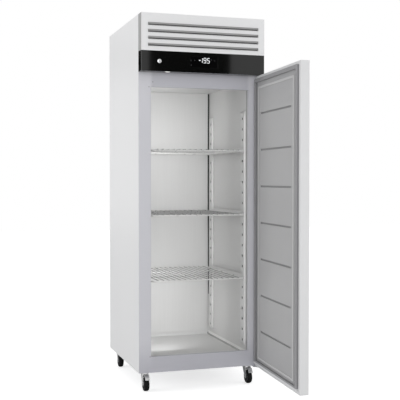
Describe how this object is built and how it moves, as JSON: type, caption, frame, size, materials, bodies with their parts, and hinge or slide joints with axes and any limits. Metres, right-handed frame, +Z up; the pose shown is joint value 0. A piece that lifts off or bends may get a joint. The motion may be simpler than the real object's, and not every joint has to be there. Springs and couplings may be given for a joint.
{
  "type": "upright freezer",
  "caption": "Tall one-door storage freezer on swivel casters, with wire shelves, a louvred top section and a control panel.",
  "frame": {"origin": "on the floor under the middle of the cabinet's width and of its 740 mm deep body", "axes": "+X to the right seen from the front, -Y out of the front towards the user, +Z up"},
  "size_m": [0.7026, 1.4408, 2.01],
  "materials": {
    "white_paint": "smooth satin white powder coat",
    "frame_grey": "smooth pale lavender-grey satin frame",
    "liner_sheet": "satin pale grey liner sheet",
    "stainless": "brushed stainless sheet",
    "coated_wire": "pale grey coated wire",
    "foam": "rigid insulating foam",
    "black_panel": "glossy black moulding",
    "display_lens": "dark glossy lens",
    "module_plastic": "matt black housing",
    "lamp_white": "white glossy lens",
    "zinc": "bright zinc plate",
    "gasket_grey": "soft grey magnetic gasket",
    "door_liner_plastic": "thermoformed pale grey sheet",
    "handle_grey": "grey moulded scoop",
    "bush_plastic": "white bearing plastic",
    "caster_steel": "zinc-plated pressed steel",
    "wheel_black": "black wheel",
    "galvanised": "galvanised sheet",
    "compressor_black": "black enamel",
    "fin_aluminium": "plain fins",
    "copper": "bare copper tube",
    "grommet_rubber": "black rubber",
    "pan_plastic": "black tray"
  },
  "bodies": {
    "cabinet": {"side_panel_left": "white_paint", "side_panel_right": "white_paint", "rear_panel": "white_paint", "top_cover": "white_paint", "fascia_grille": "white_paint", "rear_grille": "white_paint", "base_panel": "galvanised", "roof_deck": "galvanised", "front_frame": "frame_grey", "liner_left": "liner_sheet", "liner_right": "liner_sheet", "liner_back": "liner_sheet", "liner_floor": "liner_sheet", "liner_ceiling": "liner_sheet", "rear_air_duct": "liner_sheet", "foam_body": "foam", "evaporator_housing": "foam", "shelf_pilasters": "stainless", "shelf_runners": "stainless", "control_panel": "black_panel", "display_window": "display_lens", "controller_module": "module_plastic", "lock_cylinder": "zinc", "door_switch": "module_plastic", "lamp_lens": "lamp_white", "cable_gland": "module_plastic", "hinge_brackets": "zinc", "cabinet_screws": "zinc", "caster_bolts": "zinc", "caster_plates": "caster_steel", "compressor": "compressor_black", "compressor_mounts": "grommet_rubber", "condenser_coil": "fin_aluminium", "evaporator_coil": "fin_aluminium", "condenser_fan_shroud": "compressor_black", "evaporator_fan_shroud": "compressor_black", "refrigerant_pipes": "copper", "condensate_pan": "pan_plastic"},
    "door": {"door_skin": "white_paint", "door_foam": "foam", "door_liner": "door_liner_plastic", "door_gasket": "gasket_grey", "door_handle": "handle_grey", "hinge_bushes": "bush_plastic"},
    "lock": {"lock_plug": "zinc"},
    "condenser_fan": {"condenser_fan_blade": "module_plastic"},
    "evaporator_fan": {"evaporator_fan_blade": "module_plastic"},
    "shelf_top": {"shelf_top": "coated_wire"},
    "shelf_middle": {"shelf_middle": "coated_wire"},
    "shelf_bottom": {"shelf_bottom": "coated_wire"},
    "fork_front_left": {"caster_fork_front_left": "caster_steel"},
    "wheel_front_left": {"caster_wheel_front_left": "wheel_black"},
    "brake_front_left": {"brake_lever_front_left": "caster_steel"},
    "fork_front_right": {"caster_fork_front_right": "caster_steel"},
    "wheel_front_right": {"caster_wheel_front_right": "wheel_black"},
    "brake_front_right": {"brake_lever_front_right": "caster_steel"},
    "fork_rear_left": {"caster_fork_rear_left": "caster_steel"},
    "wheel_rear_left": {"caster_wheel_rear_left": "wheel_black"},
    "fork_rear_right": {"caster_fork_rear_right": "caster_steel"},
    "wheel_rear_right": {"caster_wheel_rear_right": "wheel_black"}
  },
  "joints": [
    {"name": "door_hinge", "type": "hinge", "parent": "cabinet", "child": "door", "pos_m": [0.327, -0.4, 0.9], "axis": [0, 0, 1], "range_deg": [-86.5, 23.5]},
    {"name": "lock_turn", "type": "hinge", "parent": "cabinet", "child": "lock", "pos_m": [-0.246, -0.42, 1.76], "axis": [0, 1, 0], "range_deg": [0, 90]},
    {"name": "condenser_fan_spin", "type": "hinge", "parent": "cabinet", "child": "condenser_fan", "pos_m": [-0.14, -0.29, 1.8595], "axis": [0, 1, 0], "continuous": true},
    {"name": "evaporator_fan_spin", "type": "hinge", "parent": "cabinet", "child": "evaporator_fan", "pos_m": [-0.1375, -0.04, 1.836], "axis": [0, 1, 0], "continuous": true},
    {"name": "shelf_top_slide", "type": "slide", "parent": "cabinet", "child": "shelf_top", "axis": [0, -1, 0], "range_m": [0, 0.35]},
    {"name": "shelf_middle_slide", "type": "slide", "parent": "cabinet", "child": "shelf_middle", "axis": [0, -1, 0], "range_m": [0, 0.35]},
    {"name": "shelf_bottom_slide", "type": "slide", "parent": "cabinet", "child": "shelf_bottom", "axis": [0, -1, 0], "range_m": [0, 0.35]},
    {"name": "swivel_front_left", "type": "hinge", "parent": "cabinet", "child": "fork_front_left", "pos_m": [-0.295, -0.295, 0.08], "axis": [0, 0, 1], "continuous": true},
    {"name": "wheel_front_left_spin", "type": "hinge", "parent": "fork_front_left", "child": "wheel_front_left", "pos_m": [-0.295, -0.32, 0.0375], "axis": [1, 0, 0], "continuous": true},
    {"name": "brake_front_left_press", "type": "hinge", "parent": "fork_front_left", "child": "brake_front_left", "pos_m": [-0.295, -0.312, 0.084], "axis": [1, 0, 0], "range_deg": [-20, 0]},
    {"name": "swivel_front_right", "type": "hinge", "parent": "cabinet", "child": "fork_front_right", "pos_m": [0.295, -0.295, 0.08], "axis": [0, 0, 1], "continuous": true},
    {"name": "wheel_front_right_spin", "type": "hinge", "parent": "fork_front_right", "child": "wheel_front_right", "pos_m": [0.295, -0.32, 0.0375], "axis": [1, 0, 0], "continuous": true},
    {"name": "brake_front_right_press", "type": "hinge", "parent": "fork_front_right", "child": "brake_front_right", "pos_m": [0.295, -0.312, 0.084], "axis": [1, 0, 0], "range_deg": [-20, 0]},
    {"name": "swivel_rear_left", "type": "hinge", "parent": "cabinet", "child": "fork_rear_left", "pos_m": [-0.295, 0.329, 0.08], "axis": [0, 0, 1], "continuous": true},
    {"name": "wheel_rear_left_spin", "type": "hinge", "parent": "fork_rear_left", "child": "wheel_rear_left", "pos_m": [-0.295, 0.304, 0.0375], "axis": [1, 0, 0], "continuous": true},
    {"name": "swivel_rear_right", "type": "hinge", "parent": "cabinet", "child": "fork_rear_right", "pos_m": [0.295, 0.329, 0.08], "axis": [0, 0, 1], "continuous": true},
    {"name": "wheel_rear_right_spin", "type": "hinge", "parent": "fork_rear_right", "child": "wheel_rear_right", "pos_m": [0.295, 0.304, 0.0375], "axis": [1, 0, 0], "continuous": true}
  ]
}
